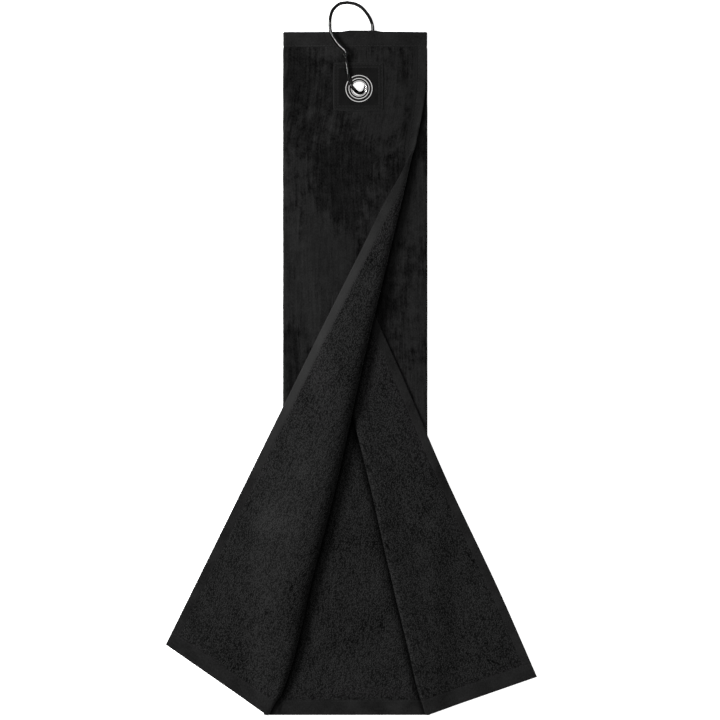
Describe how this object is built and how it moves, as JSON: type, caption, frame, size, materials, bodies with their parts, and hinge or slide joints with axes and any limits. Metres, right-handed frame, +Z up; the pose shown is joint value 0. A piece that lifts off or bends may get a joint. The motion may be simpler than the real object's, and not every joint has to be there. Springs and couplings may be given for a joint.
{
  "type": "golf towel",
  "caption": "Black tri-fold golf towel lying flat, its lower corners turned back into a fan, with a stitched patch, a metal eyelet and a spring-wire bag hook.",
  "frame": {"origin": "under the middle of the object's overall box, on the surface that the towel lies on", "axes": "+Y along the towel towards the hook, +Z up out of the cloth, +X across the folded towel to the right"},
  "size_m": [0.3508, 0.6739, 0.0204],
  "materials": {
    "terry_velour": "matt black cotton, sheared velour on one face and looped terry on the other",
    "hem_weave": "flat woven black cotton hem",
    "patch_weave": "black woven reinforcing patch",
    "sewing_thread": "black polyester sewing thread",
    "eyelet_nickel": "bright nickel plate",
    "hook_wire": "dark nickel-plated spring wire, polished"
  },
  "bodies": {
    "towel": {"back_panel": "terry_velour", "right_panel": "terry_velour", "front_panel": "terry_velour", "right_roll": "terry_velour", "front_roll": "terry_velour", "back_top_hem": "hem_weave", "right_top_hem": "hem_weave", "front_top_hem": "hem_weave", "back_bottom_hem": "hem_weave", "front_side_hem": "hem_weave", "right_side_hem": "hem_weave", "right_roll_side_hem": "hem_weave", "front_top_thread": "sewing_thread", "front_side_thread": "sewing_thread", "back_bottom_thread": "sewing_thread", "grommet_patch": "patch_weave", "patch_thread": "sewing_thread", "eyelet": "eyelet_nickel", "eyelet_washer": "eyelet_nickel"},
    "front_flap": {"front_flap": "terry_velour", "front_flap_side_hem": "hem_weave", "front_flap_bottom_hem": "hem_weave", "front_flap_side_thread": "sewing_thread", "front_flap_bottom_thread": "sewing_thread"},
    "right_flap": {"right_flap": "terry_velour", "right_flap_side_hem": "hem_weave", "right_flap_bottom_hem": "hem_weave", "right_flap_side_thread": "sewing_thread", "right_flap_bottom_thread": "sewing_thread"},
    "hook": {"hook_wire": "hook_wire"},
    "hook_gate": {"hook_gate": "hook_wire"}
  },
  "joints": [
    {"name": "front_flap_lift", "type": "hinge", "parent": "towel", "child": "front_flap", "pos_m": [-0.0117, -0.07295, 0.01205], "axis": [0.2424, 0.9702, 0.0021], "range_deg": [0, 100]},
    {"name": "right_flap_lift", "type": "hinge", "parent": "towel", "child": "right_flap", "pos_m": [0.04985, -0.15845, 0.0072], "axis": [0.1598, -0.9871, 0.0023], "range_deg": [0, 70]},
    {"name": "hook_swing", "type": "hinge", "parent": "towel", "child": "hook", "pos_m": [0.0072, 0.25425, 0.008], "axis": [0, 0, 1], "range_deg": [-15, 15]},
    {"name": "hook_gate_open", "type": "hinge", "parent": "hook", "child": "hook_gate", "pos_m": [-0.0043, 0.3354, 0.0114], "axis": [-0.9657, -0.0322, 0.2575], "range_deg": [0, 25], "stiffness_Nm_per_rad": 0.05, "springref_deg": -11.46}
  ]
}
